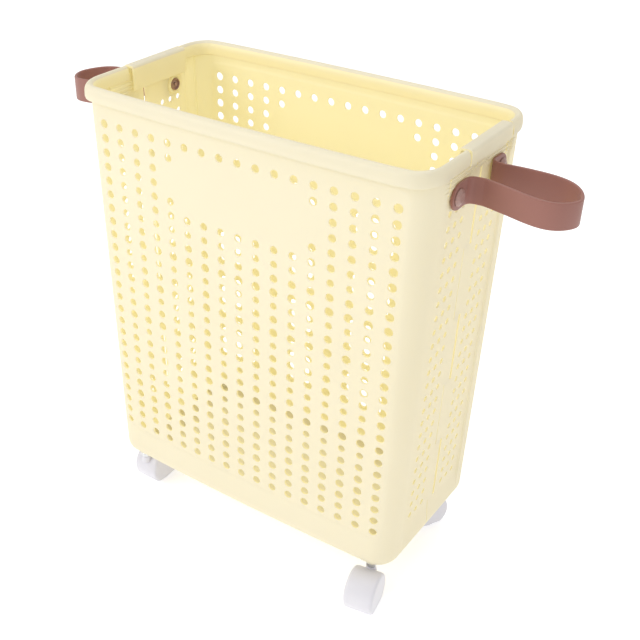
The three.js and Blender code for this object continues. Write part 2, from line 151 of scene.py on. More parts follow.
# Casters
CASTER_X = 0.1655
CASTER_Y = 0.080
CASTER_TRAIL = 0.0188
WHEEL_RADIUS = 0.0215
CASTERS = (
    ("front_right", 1, -1, -80),
    ("front_left", -1, -1, 90),
    ("rear_right", 1, 1, -120),
    ("rear_left", -1, 1, 100),
)


# ---- Mesh helpers ----------------------------------------------------------------------------


class Skin:
    """Points and faces of one piece, collected before they become a mesh."""

    def __init__(self):
        self.points = []
        self.faces = []

    def add_point(self, point):
        self.points.append(tuple(point))
        return len(self.points) - 1

    def add_loop(self, points):
        return [self.add_point(point) for point in points]

    def bridge(self, first, second):
        """Faces between two closed loops with the same number of points."""
        count = len(first)
        for i in range(count):
            j = (i + 1) % count
            self.faces.append((first[i], first[j], second[j], second[i]))

    def sweep(self, sections):
        """A closed solid through closed sections, capped at both ends."""
        loops = [self.add_loop(section) for section in sections]
        for first, second in zip(loops, loops[1:]):
            self.bridge(first, second)
        self.faces.append(tuple(loops[0]))
        self.faces.append(tuple(reversed(loops[-1])))

    def turn(self, profile, segments, place):
        """A turned solid from a profile of (radius, height) pairs, moved by the matrix `place`."""
        loops = []
        for radius, height in profile:
            if radius == 0:
                loops.append([self.add_point(place @ Vector((0, 0, height)))])
                continue
            angles = [2 * math.pi * k / segments for k in range(segments)]
            ring = [Vector((radius * math.cos(a), radius * math.sin(a), height)) for a in angles]
            loops.append(self.add_loop(place @ point for point in ring))
        for first, second in zip(loops, loops[1:]):
            self.join_rings(first, second, segments)
        if profile[0][0] > 0:
            self.join_rings(loops[-1], loops[0], segments)

    def join_rings(self, first, second, segments):
        if len(first) == 1 and len(second) == 1:
            return
        for k in range(segments):
            n = (k + 1) % segments
            if len(first) == 1:
                self.faces.append((first[0], second[n], second[k]))
            elif len(second) == 1:
                self.faces.append((first[k], first[n], second[0]))
            else:
                self.faces.append((first[k], first[n], second[n], second[k]))

    def mesh(self, name, sharp_degrees=30):
        """A shaded mesh with all its normals pointing outwards."""
        data = bpy.data.meshes.new(name)
        data.from_pydata(self.points, [], self.faces)
        work = bmesh.new()
        work.from_mesh(data)
        bmesh.ops.recalc_face_normals(work, faces=work.faces)
        work.to_mesh(data)
        work.free()
        data.polygons.foreach_set("use_smooth", [True] * len(data.polygons))
        data.set_sharp_from_angle(angle=math.radians(sharp_degrees))
        return data


def add_piece(name, data, material, body, slot, *nodes):
    """One visible piece, on its body, standing for its CAD nodes."""
    data.materials.clear()
    data.materials.append(material)
    piece = bpy.data.objects.new(name, data)
    bpy.context.scene.collection.objects.link(piece)
    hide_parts(*nodes)
    if body:
        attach(piece, body)
    return piece


def add_bevel(piece, width, segments, degrees=35):
    bevel = piece.modifiers.new("rounded edges", "BEVEL")
    bevel.width = width
    bevel.segments = segments
    bevel.limit_method = "ANGLE"
    bevel.angle_limit = math.radians(degrees)
    bevel.use_clamp_overlap = True
    bevel.harden_normals = True


def smooth_step(low, high, value):
    t = min(1.0, max(0.0, (value - low) / (high - low)))
    return t * t * (3 - 2 * t)


# ---- Materials -------------------------------------------------------------------------------


def principled(name):
    """A new material's node tree and its Principled shader."""
    material = bpy.data.materials.new(name)
    material.use_nodes = True
    tree = material.node_tree
    return material, tree, tree.nodes["Principled BSDF"]


def noise(tree, coordinates, scale, detail, roughness=0.5):
    node = tree.nodes.new("ShaderNodeTexNoise")
    node.inputs["Scale"].default_value = scale
    node.inputs["Detail"].default_value = detail
    node.inputs["Roughness"].default_value = roughness
    tree.links.new(coordinates.outputs["Object"], node.inputs["Vector"])
    return node


def two_tones(tree, factor, dark, light, low=0.35, high=0.65):
    ramp = tree.nodes.new("ShaderNodeValToRGB")
    ramp.color_ramp.elements[0].position = low
    ramp.color_ramp.elements[0].color = (*dark, 1)
    ramp.color_ramp.elements[1].position = high
    ramp.color_ramp.elements[1].color = (*light, 1)
    tree.links.new(factor.outputs["Fac"], ramp.inputs["Fac"])
    return ramp


def varied_roughness(tree, shader, factor, low, high):
    spread = tree.nodes.new("ShaderNodeMapRange")
    spread.inputs["To Min"].default_value = low
    spread.inputs["To Max"].default_value = high
    tree.links.new(factor.outputs["Fac"], spread.inputs["Value"])
    tree.links.new(spread.outputs["Result"], shader.inputs["Roughness"])


def surface_bump(tree, shader, height, strength, distance):
    bump = tree.nodes.new("ShaderNodeBump")
    bump.inputs["Strength"].default_value = strength
    bump.inputs["Distance"].default_value = distance
    tree.links.new(height.outputs["Fac"], bump.inputs["Height"])
    tree.links.new(bump.outputs["Normal"], shader.inputs["Normal"])


def moulded(name, dark, light, rough, grain, grain_depth, sheen=0.0):
    """Moulded plastic or rubber: faint flow clouding, a fine grain, and uneven gloss."""
    material, tree, shader = principled(name)
    coordinates = tree.nodes.new("ShaderNodeTexCoord")
    clouding = noise(tree, coordinates, 9.0, 3.0)
    tones = two_tones(tree, clouding, dark, light)
    tree.links.new(tones.outputs["Color"], shader.inputs["Base Color"])
    wear = noise(tree, coordinates, 60.0, 4.0, 0.6)
    varied_roughness(tree, shader, wear, rough[0], rough[1])
    fine = noise(tree, coordinates, grain, 2.0)
    surface_bump(tree, shader, fine, 0.25, grain_depth)
    shader.inputs["Sheen Weight"].default_value = sheen
    return material


TRANSLUCENT_SHARE = 0.38
# Colour of a painted glow: emission that stands in for light scattered inside the walls, not a lamp.
PAINTED_GLOW_COLOUR = (1.0, 0.86, 0.36)


def cream_plastic(name, dark, light, glow, painted_glow_strength):
    """Cream polypropylene, which lets a warm light through its thin walls; its emission is a painted glow,
    standing in for the light scattered inside.
    """
    material = moulded(name, dark, light, (0.36, 0.46), 1400.0, 0.00008)
    tree = material.node_tree
    shader = tree.nodes["Principled BSDF"]
    shader.inputs["IOR"].default_value = 1.46
    # The emission is painted light: a glow that stands in for light passing through and scattering in the
    # plastic.
    shader.inputs["Emission Color"].default_value = (*PAINTED_GLOW_COLOUR, 1)
    shader.inputs["Emission Strength"].default_value = painted_glow_strength
    through = tree.nodes.new("ShaderNodeBsdfTranslucent")
    through.inputs["Color"].default_value = (*glow, 1)
    mixed = tree.nodes.new("ShaderNodeMixShader")
    mixed.inputs["Fac"].default_value = TRANSLUCENT_SHARE
    tree.links.new(shader.outputs["BSDF"], mixed.inputs[1])
    tree.links.new(through.outputs["BSDF"], mixed.inputs[2])
    tree.links.new(mixed.outputs["Shader"], tree.nodes["Material Output"].inputs["Surface"])
    return material


def outer_cream():
    dark = (0.868, 0.848, 0.772)
    light = (0.880, 0.862, 0.792)
    return cream_plastic("cream polypropylene", dark, light, (1.0, 0.94, 0.68), 0.0)


def inner_cream_painted_light():
    # A lighter, yellower copy of the cream with a painted glow: painted light for the inside, which is lit
    # brighter by light bouncing round and passing through the walls.
    dark = (0.936, 0.892, 0.680)
    light = (0.950, 0.906, 0.705)
    return cream_plastic("cream polypropylene inside, painted light", dark, light, (1.0, 0.93, 0.62), 0.145)


def strap_rubber():
    return moulded(
        "mauve elastomer", (0.300, 0.124, 0.096), (0.325, 0.138, 0.108), (0.46, 0.58), 2200.0, 0.00010, 0.15
    )


def rivet_plastic():
    return moulded(
        "mauve hard plastic", (0.370, 0.215, 0.185), (0.400, 0.240, 0.208), (0.26, 0.36), 1800.0, 0.00005
    )


def white_nylon():
    return moulded(
        "white nylon", (0.720, 0.705, 0.755), (0.740, 0.726, 0.772), (0.26, 0.36), 1600.0, 0.00004
    )


def zinc_steel():
    material, tree, shader = principled("bright zinc steel")
    coordinates = tree.nodes.new("ShaderNodeTexCoord")
    tones = two_tones(tree, noise(tree, coordinates, 220.0, 3.0), (0.60, 0.61, 0.63), (0.74, 0.75, 0.77))
    tree.links.new(tones.outputs["Color"], shader.inputs["Base Color"])
    varied_roughness(tree, shader, noise(tree, coordinates, 700.0, 2.0), 0.16, 0.30)
    shader.inputs["Metallic"].default_value = 1.0
    return material


CREAM = outer_cream()
# The inside copy carries painted light: lighter colour and a painted glow.
CREAM_INSIDE_PAINTED_LIGHT = inner_cream_painted_light()
STRAP = strap_rubber()
RIVET = rivet_plastic()
NYLON = white_nylon()
STEEL = zinc_steel()


# ---- Basket outline --------------------------------------------------------------------------
# A station is a place round the front half of the outline: ("end", side, y), ("corner", side, t)
# with t from 0 at the long side to 1 at the end wall, or ("long", side, x).


def shrink_at(z):
    return (TOP_HALF_WIDTH - END_WALL_LEAN * (RIM_TOP - z)) / TOP_HALF_WIDTH


def outline_at(station, z):
    """Plan point of the wall's outer face at a height, and its outward normal."""
    kind, side, value = station
    shrink = shrink_at(z)
    if kind == "end":
        return Vector((side * TOP_HALF_WIDTH * shrink, value)), Vector((side, 0))
    if kind == "corner":
        start = math.asin((LAST_LONG_X / shrink - CORNER_X) / CORNER_RADIUS)
        angle = start + value * (math.pi / 2 - start)
    else:
        rim_x = abs(value) / shrink
        if rim_x <= CORNER_X:
            slope = 2 * LONG_SIDE_BOW * rim_x / CORNER_X**2
            y = HALF_DEPTH + LONG_SIDE_BOW * (1 - (rim_x / CORNER_X) ** 2)
            return Vector((value, -y)), Vector((math.copysign(slope, value), -1)).normalized()
        angle = math.asin((rim_x - CORNER_X) / CORNER_RADIUS)
    x = (CORNER_X + CORNER_RADIUS * math.sin(angle)) * shrink
    y = CORNER_Y + CORNER_RADIUS * math.cos(angle)
    return Vector((side * x, -y)), Vector((side * math.sin(angle), -math.cos(angle)))


def inside_border(x, z):
    """1 inside the shallow border of a long side, 0 outside, with a short slope between."""
    half_z = (BORDER_TOP - BORDER_BOTTOM) / 2
    dx = abs(x) - (BORDER_HALF_X - BORDER_RADIUS)
    dz = abs(z - (BORDER_TOP + BORDER_BOTTOM) / 2) - (half_z - BORDER_RADIUS)
    away = math.hypot(max(dx, 0), max(dz, 0)) + min(max(dx, dz), 0) - BORDER_RADIUS
    return 1 - smooth_step(-BORDER_EDGE, BORDER_EDGE, away)


SLOT_DEPTH = 0.0016
SLOT_BOTTOM = 0.484
RIBS = (0.4925, 0.4969, 0.5013)  # heights of the fine ribs under the rim at each end
RIB_HALF = 0.0009
RIB_SLOPE = 0.0006
RIB_RISE = 0.0009
RIB_END = 0.070
WIDE_GROOVE_Y = 0.0605
WIDE_GROOVE_DEPTH = 0.0014
NARROW_GROOVE_Y = 0.0812
NARROW_GROOVE_DEPTH = 0.0015


def rib_at(y, z):
    across = 1 - smooth_step(RIB_END - 0.002, RIB_END, abs(y))
    return across * max(1 - smooth_step(RIB_HALF, RIB_HALF + RIB_SLOPE, abs(z - rib)) for rib in RIBS)


def inner_groove_at(y):
    """Two shallow grooves that run down the inside near each corner."""
    wide = 1 - smooth_step(0.0022, 0.0032, abs(abs(y) - WIDE_GROOVE_Y))
    narrow = 1 - smooth_step(0.0008, 0.0014, abs(abs(y) - NARROW_GROOVE_Y))
    return max(wide * WIDE_GROOVE_DEPTH, narrow * NARROW_GROOVE_DEPTH)


def end_slot_at(y, z):
    """The narrow upright slot under the rear end of each saddle clip."""
    across = 1 - smooth_step(0.0006, 0.0011, abs(abs(y) - CLIP_REAR))
    return SLOT_DEPTH * across * smooth_step(SLOT_BOTTOM, SLOT_BOTTOM + 0.002, z)


def relief_at(station, z, inner):
    """How far the wall's face is set back from the plain outline."""
    kind, _, value = station
    if kind == "end":
        panel = 1 - smooth_step(END_PANEL_HALF, END_PANEL_HALF + END_PANEL_EDGE, abs(value))
        depth = END_PANEL_DEPTH * panel * smooth_step(PANEL_FOOT, PANEL_FULL, z)
        rib = RIB_RISE * rib_at(value, z)
        return depth + (rib - inner_groove_at(value) if inner else end_slot_at(value, z) - rib)
    point, _ = outline_at(station, z)
    if kind == "corner":
        return -inner_groove_at(point.y) if inner else 0.0
    return BORDER_DEPTH * inside_border(value, z)


# ---- Perforations ----------------------------------------------------------------------------


def row_z(row):
    return FIRST_ROW_Z - ROW_PITCH * (row - 1)


def long_side_hole(row, column):
    """Radius of a hole in a long side, or None where the side is left plain."""
    in_blank = 6 <= column <= 12 and 2 <= row <= 5
    in_blank_edge = column in (5, 13) and 3 <= row <= 4
    if in_blank or in_blank_edge:
        return None
    if row >= 24 or column in (1, COLUMNS):
        return SIDE_HOLE_RADIUS
    if row <= 6:
        return TOP_HOLE_RADIUS
    if row >= 22:
        return LOW_HOLE_RADIUS
    return MIDDLE_HOLE_RADII[(row - 7) % len(MIDDLE_HOLE_RADII)]


# ---- Half shell ------------------------------------------------------------------------------


def seam_height(z):
    """The height of a grid line in the seam strip, where the steps have their own pitch."""
    row_step = 5 * ROW_PITCH
    first_line = row_z(ROWS) - ROW_PITCH / 2
    last_line = first_line + 5 * row_step
    last_step = SEAM_FIRST_STEP + 5 * SEAM_PITCH
    if z <= first_line:
        stretch = (SEAM_FIRST_STEP - SHELL_BOTTOM) / (first_line - SHELL_BOTTOM)
        return SHELL_BOTTOM + (z - SHELL_BOTTOM) * stretch
    if z <= last_line:
        return SEAM_FIRST_STEP + (z - first_line) * SEAM_PITCH / row_step
    return last_step + (z - last_line) * (WALL_TOP - last_step) / (WALL_TOP - last_line)


def in_tongue_band(z):
    """Whether the front shell reaches past the middle of the right end at this height."""
    step = math.floor((z - SEAM_FIRST_STEP) / SEAM_PITCH)
    return 0 <= step <= 4 and step % 2 == 0


def even_lines(low, high, count):
    return [low + (high - low) * i / count for i in range(count + 1)]


# Grid lines of an end wall beyond its holes, on the edges of the slot, wide groove and panel
OUTER_END_LINES = (
    0.0566, 0.0569, 0.0574, 0.0586, 0.0591, 0.0625, 0.063, 0.0636, 0.0641, 0.0646, 0.068,
)


def end_stations(side, seam_edges):
    """Stations of one end wall, from the seam to its corner."""
    values = [*seam_edges, -SEAM_STRIP]
    for centre in END_COLUMNS:
        values += even_lines(-centre + END_CELL_HALF, -centre - END_CELL_HALF, 4)
    values += [-y for y in OUTER_END_LINES]
    return [("end", side, value) for value in values]


def long_stations():
    """Stations of the front long side, from right to left, six to each column of holes."""
    cells = []
    for column in range(COLUMNS, 0, -1):
        centre = (column - (COLUMNS + 1) / 2) * COLUMN_PITCH
        high = min(centre + COLUMN_PITCH / 2, LAST_LONG_X - 2 * BORDER_EDGE)
        low = max(centre - COLUMN_PITCH / 2, -LAST_LONG_X + 2 * BORDER_EDGE)
        cells += even_lines(high, low, 6)[:-1]
    values = [LAST_LONG_X, *cells, -LAST_LONG_X + 2 * BORDER_EDGE, -LAST_LONG_X]
    return [("long", 1 if value > 0 else -1, value) for value in values]


# Places round a corner, closer together where the narrow groove crosses it
CORNER_STEPS = (
    0.08, 0.17, 0.26, 0.35, 0.44, 0.52, 0.58, 0.61, 0.635, 0.66, 0.69, 0.74, 0.80, 0.87, 0.94, 1.0,
)
RIGHT_SEAM = (TONGUE_EDGE, -0.0018, -CLOSED_EDGE)
LEFT_SEAM = (CLOSED_EDGE - SEAM_GAP, 0.0, -SLOT_EDGE)


def half_outline():
    """All stations of a half shell, from its right seam round the front to its left seam."""
    right = end_stations(1, RIGHT_SEAM) + [("corner", 1, t) for t in reversed(CORNER_STEPS)]
    left = [("corner", -1, t) for t in CORNER_STEPS] + list(reversed(end_stations(-1, LEFT_SEAM)))
    return right + long_stations() + left


def wall_levels():
    """Heights of the wall's grid lines from the top down, four to each row of holes."""
    above = [WALL_TOP, 0.508, 0.505, 0.5030]
    for rib in reversed(RIBS):
        above += [rib + RIB_HALF + RIB_SLOPE, rib + RIB_HALF, rib - RIB_HALF, rib - RIB_HALF - RIB_SLOPE]
    top = row_z(1) + ROW_PITCH / 2
    bottom = row_z(ROWS) - ROW_PITCH / 2
    border = [BORDER_BOTTOM + BORDER_EDGE, BORDER_BOTTOM - BORDER_EDGE]
    below = [0.0945, 0.089, 0.083, 0.077, 0.070, SHELL_BOTTOM + BOTTOM_FILLET]
    return [*above, *even_lines(top, bottom, 4 * ROWS), *border, *below]


FILLET_STEPS = 6
FLANGE_PARTS = (0.4, 1.0)


class HalfShell:
    """The front half shell's skin, on a grid of stations and levels."""

    def __init__(self):
        self.skin = Skin()
        self.stations = half_outline()
        self.levels = [("wall", z) for z in wall_levels()]
        self.levels += [("fillet", (i + 1) / FILLET_STEPS) for i in range(FILLET_STEPS)]
        self.levels += [("flange", part) for part in FLANGE_PARTS]
        self.index = {}
        self.holes = {}

    def face_point(self, station, level, depth, inner):
        """A point of the shell at a depth below its outer face."""
        kind, value = level
        if kind == "wall":
            z = value
            if station[0] == "end" and station[2] >= -SEAM_STRIP:
                z = seam_height(z)
            point, normal = outline_at(station, z)
            point = point - normal * (relief_at(station, z, inner) + depth)
            return Vector((point.x, point.y, z))
        angle = (value if kind == "fillet" else 1.0) * math.pi / 2
        radius = BOTTOM_FILLET - depth
        inset = BOTTOM_FILLET - radius * math.cos(angle)
        z = SHELL_BOTTOM + BOTTOM_FILLET - radius * math.sin(angle)
        point, normal = outline_at(station, z)
        relief = relief_at(station, SHELL_BOTTOM + BOTTOM_FILLET, inner) * math.cos(angle)
        point = point - normal * (relief + inset)
        if kind == "flange":
            point = point.lerp(self.flange_edge(station, point), value)
        return Vector((point.x, point.y, z))

    def flange_edge(self, station, point):
        """Where the floor flange ends below a station."""
        kind, side, value = station
        if kind == "end":
            return Vector((side * FLANGE_HALF_X, max(value * FLANGE_HALF_Y / CORNER_Y, -FLANGE_HALF_Y)))
        if kind == "corner":
            return Vector((side * FLANGE_HALF_X, -FLANGE_HALF_Y))
        return Vector((max(-FLANGE_HALF_X, min(FLANGE_HALF_X, value)), -FLANGE_HALF_Y))

    def corner_of(self, i, j, inner):
        """The index of a grid point on the outer or inner face."""
        key = (i, j, inner)
        if key not in self.index:
            point = self.face_point(self.stations[j], self.levels[i], WALL if inner else 0.0, inner)
            self.index[key] = self.skin.add_point(point)
        return self.index[key]

    def has_cell(self, i, j):
        """Whether the cell below level i and after station j belongs to this half."""
        if not (0 <= i < len(self.levels) - 1 and 0 <= j < len(self.stations) - 1):
            return False
        kind, side, value = self.stations[j]
        next_kind, _, next_value = self.stations[j + 1]
        if kind != "end" or next_kind != "end":
            return True
        middle = (value + next_value) / 2
        _, level_value = self.levels[i]
        next_level_kind, next_level_value = self.levels[i + 1]
        z = seam_height((level_value + next_level_value) / 2) if next_level_kind == "wall" else 0.0
        if side > 0 and middle > -CLOSED_EDGE:
            return in_tongue_band(z)
        if side < 0 and middle > -SLOT_EDGE:
            return not in_tongue_band(z)
        return True

    def mark_hole(self, i, j, width, centre, z, radius):
        """Reserves the block of cells round one hole."""
        self.holes[(i, j)] = (width, centre, z, radius)

    def mark_all_holes(self):
        top_line = row_z(1) + ROW_PITCH / 2
        first_level = next(i for i, (_, z) in enumerate(self.levels) if abs(z - top_line) < 1e-6)
        long_start = next(j for j, (kind, _, _) in enumerate(self.stations) if kind == "long") + 1
        for row in range(1, ROWS + 1):
            level = first_level + 4 * (row - 1)
            for column in range(1, COLUMNS + 1):
                radius = long_side_hole(row, column)
                if radius:
                    centre = (column - (COLUMNS + 1) / 2) * COLUMN_PITCH
                    self.mark_hole(level, long_start + 6 * (COLUMNS - column), 6, centre, row_z(row), radius)
            if row >= FIRST_END_ROW:
                for start, count in ((4, 1), (len(self.stations) - 5, -1)):
                    for k, y in enumerate(END_COLUMNS):
                        j = start + 5 * k if count > 0 else start - 5 * k - 4
                        self.mark_hole(level, j, 4, -y, row_z(row), END_HOLE_RADIUS)

    def block_loop(self, i, j, width, inner):
        """Grid points round a four-row block, from the middle of its first side, upwards."""
        places = [(i + 2, j), (i + 1, j)]
        places += [(i, j + k) for k in range(width)]
        places += [(i + k, j + width) for k in range(4)]
        places += [(i + 4, j + width - k) for k in range(width)]
        places += [(i + 4, j), (i + 3, j)]
        return [self.corner_of(a, b, inner) for a, b in places]

    def hole_ring(self, i, j, width, centre, z, radius, depth, inner):
        """One ring of points round a hole, at a depth below the outer face."""
        count = 2 * (width + 4)
        kind, side, value = self.stations[j]
        towards = 1 if value > centre else -1
        points = []
        for k in range(count):
            angle = 2 * math.pi * k / count
            along = centre + towards * radius * math.cos(angle)
            station = (kind, 1 if along > 0 else -1, along) if kind == "long" else (kind, side, along)
            points.append(self.face_point(station, ("wall", z + radius * math.sin(angle)), depth, inner))
        return self.skin.add_loop(points)

    def cut_hole(self, i, j):
        width, centre, z, radius = self.holes[(i, j)]
        rings = [self.block_loop(i, j, width, False)]
        for grow, depth in ((HOLE_EDGE, 0), (0, HOLE_EDGE), (0, WALL - HOLE_EDGE), (HOLE_EDGE, WALL)):
            rings.append(self.hole_ring(i, j, width, centre, z, radius + grow, depth, depth > WALL / 2))
        rings.append(self.block_loop(i, j, width, True))
        for first, second in zip(rings, rings[1:]):
            self.skin.bridge(first, second)

    def close_edges(self, i, j):
        """Joins the two faces wherever a cell has no neighbour."""
        sides = (
            ((i - 1, j), (i, j), (i, j + 1)),
            ((i + 1, j), (i + 1, j), (i + 1, j + 1)),
            ((i, j - 1), (i, j), (i + 1, j)),
            ((i, j + 1), (i, j + 1), (i + 1, j + 1)),
        )
        for neighbour, a, b in sides:
            if not self.has_cell(*neighbour):
                outer = (self.corner_of(*a, False), self.corner_of(*b, False))
                inner = (self.corner_of(*b, True), self.corner_of(*a, True))
                self.skin.faces.append(outer + inner)

    def build(self):
        self.mark_all_holes()
        in_block = set()
        for (i, j), (width, *_) in self.holes.items():
            in_block |= {(i + a, j + b) for a in range(4) for b in range(width)}
            self.cut_hole(i, j)
        for i in range(len(self.levels) - 1):
            for j in range(len(self.stations) - 1):
                if not self.has_cell(i, j):
                    continue
                if (i, j) not in in_block:
                    places = ((i, j), (i, j + 1), (i + 1, j + 1), (i + 1, j))
                    self.skin.faces.append(tuple(self.corner_of(*place, False) for place in places))
                    self.skin.faces.append(tuple(self.corner_of(*place, True) for place in reversed(places)))
                self.close_edges(i, j)
        return self.skin


def rim_section(station):
    """Section of the rolled rim at a station: a rounded bead that is hollow below."""
    point, normal = outline_at(station, RIM_TOP)
    reach = RIM_OVERHANG_END + (RIM_OVERHANG_LONG - RIM_OVERHANG_END) * normal.y**2
    lip = RIM_LIP_END + (RIM_LIP_LONG - RIM_LIP_END) * normal.y**2
    middle = (reach - lip) / 2
    half = (reach + lip) / 2
    spring = RIM_SPRING
    rise = RIM_TOP - spring
    section = [(-lip, RIM_BOTTOM + 0.0008), (-lip, spring)]
    for k in range(1, 12):
        angle = math.pi * (1 - k / 12)
        section.append((middle + half * math.cos(angle), spring + rise * math.sin(angle) ** 0.85))
    section += [
        (reach, spring),
        (reach, RIM_BOTTOM + 0.0026),
        (reach - 0.0005, RIM_BOTTOM + 0.0009),
        (reach - 0.0016, RIM_BOTTOM),
        (reach - 0.0027, RIM_BOTTOM + 0.0009),
        (reach - RIM_SKIN, RIM_BOTTOM + 0.0030),
        (reach - RIM_SKIN, spring),
    ]
    inner_half = half - RIM_SKIN
    for k in range(1, 8):
        angle = math.pi * k / 8
        height = spring + (rise - RIM_SKIN) * math.sin(angle)
        section.append((middle + inner_half * math.cos(angle), height))
    section += [
        (-lip + RIM_SKIN, spring),
        (-lip + RIM_SKIN, RIM_BOTTOM + 0.0008),
        (-lip + 0.0011, RIM_BOTTOM),
    ]
    return [(*(point + normal * out), z) for out, z in section]


RIM_CORNER_STEPS = (1.0, 0.93, 0.86, 0.79, 0.72, 0.65, 0.58, 0.51, 0.44, 0.37, 0.3, 0.22, 0.14, 0.07)


def rim_stations(slit_y):
    """Stations of a half shell's rolled rim, between the slits beside the saddle clips."""
    ends = [("end", 1, -slit_y), ("end", 1, -0.060), ("end", 1, -0.066)]
    corner = [("corner", 1, t) for t in RIM_CORNER_STEPS]
    right = ends + corner
    left = [(kind, -1, value) for kind, _, value in reversed(right)]
    middle = [("long", 1 if x >= 0 else -1, x) for x in even_lines(LAST_LONG_X, -LAST_LONG_X, 24)]
    return right + middle + left


def add_bosses(skin):
    """Raised rings inside the end walls, round the rivets."""
    for side in (-1, 1):
        at_rivet = Matrix.Translation((side * (PANEL_X - WALL), -RIVET_Y, HANDLE_Z))
        profile = [
            (0.0072, -0.0006), (0.0112, -0.0006), (0.0112, 0.0012),
            (0.0106, 0.0018), (0.0078, 0.0018), (0.0072, 0.0012),
        ]
        skin.turn(profile, 32, at_rivet @ Matrix.Rotation(-side * math.pi / 2, 4, "Y"))


def faces_inwards(polygon):
    """Whether a face of a shell looks into the basket, or lies in the thickness of a hole."""
    x, y, z = polygon.center
    on_long_side = abs(y) / HALF_DEPTH > abs(x) / (TOP_HALF_WIDTH * shrink_at(z))
    normal = polygon.normal
    outwards_part = normal.y * math.copysign(1, y) if on_long_side else normal.x * math.copysign(1, x)
    return z < RIM_TOP - 0.003 and outwards_part < 0.35 and normal.z > -0.75


def paint_inside_light(data):
    """Gives the faces that look inwards the lighter, glowing cream: painted light for the brighter inside."""
    data.materials.append(CREAM_INSIDE_PAINTED_LIGHT)
    for polygon in data.polygons:
        polygon.material_index = 1 if faces_inwards(polygon) else 0


def half_shell_mesh(name, slit_y):
    """A half shell, with its rim open from the middle of each end as far as `slit_y`."""
    skin = HalfShell().build()
    skin.sweep([rim_section(station) for station in rim_stations(slit_y)])
    add_bosses(skin)
    return skin.mesh(name)


def add_shells():
    """Both half shells: the rear one is turned half a turn."""
    front = half_shell_mesh("front_shell_visual", CLIP_SLIT - CLIP_FRONT)
    rear = half_shell_mesh("rear_shell_visual", CLIP_REAR + CLIP_SLIT)
    rear.transform(Matrix.Rotation(math.pi, 4, "Z"))
    add_piece("front_half_shell", front, CREAM, "basket", "cream", "front_shell")
    add_piece("rear_half_shell", rear, CREAM, "basket", "cream", "rear_shell")
    # The inside faces take the copy of the cream with painted light: lighter colour and a painted glow.
    paint_inside_light(front)
    paint_inside_light(rear)


# ---- Rim saddle clips ------------------------------------------------------------------------


def clip_section():
    """Closed section of a saddle clip, in x and z, over the rim at the right end."""
    rounding = CLIP_ROUNDING
    outside = [(CLIP_OUTER_X, CLIP_OUTER_BOTTOM)]
    for k in range(9):
        angle = math.pi / 2 * k / 8
        x = CLIP_OUTER_X - rounding + rounding * math.cos(angle)
        outside.append((x, RIM_TOP - rounding + rounding * math.sin(angle)))
    for k in range(9):
        angle = math.pi / 2 * (1 + k / 8)
        x = CLIP_INNER_X + rounding + rounding * math.cos(angle)
        outside.append((x, RIM_TOP - rounding + rounding * math.sin(angle)))
    outside.append((CLIP_INNER_X, CLIP_INNER_BOTTOM))
    inside = [
        (CLIP_INNER_X + CLIP_SKIN, CLIP_INNER_BOTTOM),
        (CLIP_INNER_X + CLIP_SKIN, RIM_TOP - rounding),
        (CLIP_INNER_X + rounding, RIM_TOP - CLIP_SKIN - 0.0005),
        (CLIP_OUTER_X - rounding, RIM_TOP - CLIP_SKIN - 0.0005),
        (CLIP_OUTER_X - CLIP_SKIN, RIM_TOP - rounding),
        (CLIP_OUTER_X - CLIP_SKIN, CLIP_OUTER_BOTTOM),
    ]
    return outside + inside


def add_rim_clip(name, side):
    skin = Skin()
    section = clip_section()
    ys = (CLIP_FRONT, 0.0, 0.03, CLIP_REAR)
    skin.sweep([[(side * x, y, z) for x, z in section] for y in ys])
    data = skin.mesh(name)
    clip = add_piece(f"{name}_visual", data, CREAM, "basket", "cream", name)
    # The clip's inside faces take the copy of the cream with painted light.
    paint_inside_light(data)
    add_bevel(clip, 0.0006, 3)


# ---- Floor tray ------------------------------------------------------------------------------


def rounded_plan(half_x, half_y, radius, steps=6):
    points = []
    for quarter, (sx, sy) in enumerate(((1, 1), (-1, 1), (-1, -1), (1, -1))):
        for k in range(steps + 1):
            angle = math.pi / 2 * (quarter + k / steps)
            x = sx * (half_x - radius) + radius * math.cos(angle)
            points.append((x, sy * (half_y - radius) + radius * math.sin(angle)))
    return points


TRAY_CORNER = 0.014
TRAY_LIFT = 0.0003  # clearance over the floor flange


def add_floor_tray():
    """The tray on the floor flange: a flat plate with a low upright lip and caster bosses."""
    _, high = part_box("floor_tray")
    bottom = SHELL_BOTTOM + WALL + TRAY_LIFT
    skin = Skin()
    levels = ((0.0, 0.0), (0.0004, 0.0), (0.0070, 0.0), (0.0070, 0.0020), (0.0030, 0.0025), (0.0025, 0.0035))
    loops = []
    for rise, inset in levels:
        plan = rounded_plan(high.x - inset, high.y - inset, TRAY_CORNER - inset)
        loops.append(skin.add_loop((x, y, bottom + rise) for x, y in plan))
    for first, second in zip(loops, loops[1:]):
        skin.bridge(first, second)
    skin.faces.append(tuple(loops[0]))
    skin.faces.append(tuple(reversed(loops[-1])))
    for _, x, y, _ in CASTERS:
        place = Matrix.Translation((x * CASTER_X, y * CASTER_Y, bottom + 0.0024))
        skin.turn([(0, 0.0052), (0.0066, 0.0052), (0.0074, 0.0044), (0.0078, 0.0), (0, 0.0)], 28, place)
    add_piece("floor_tray_visual", skin.mesh("floor_tray"), CREAM, "basket", "cream", "floor_tray")


# ---- Strap handles ---------------------------------------------------------------------------


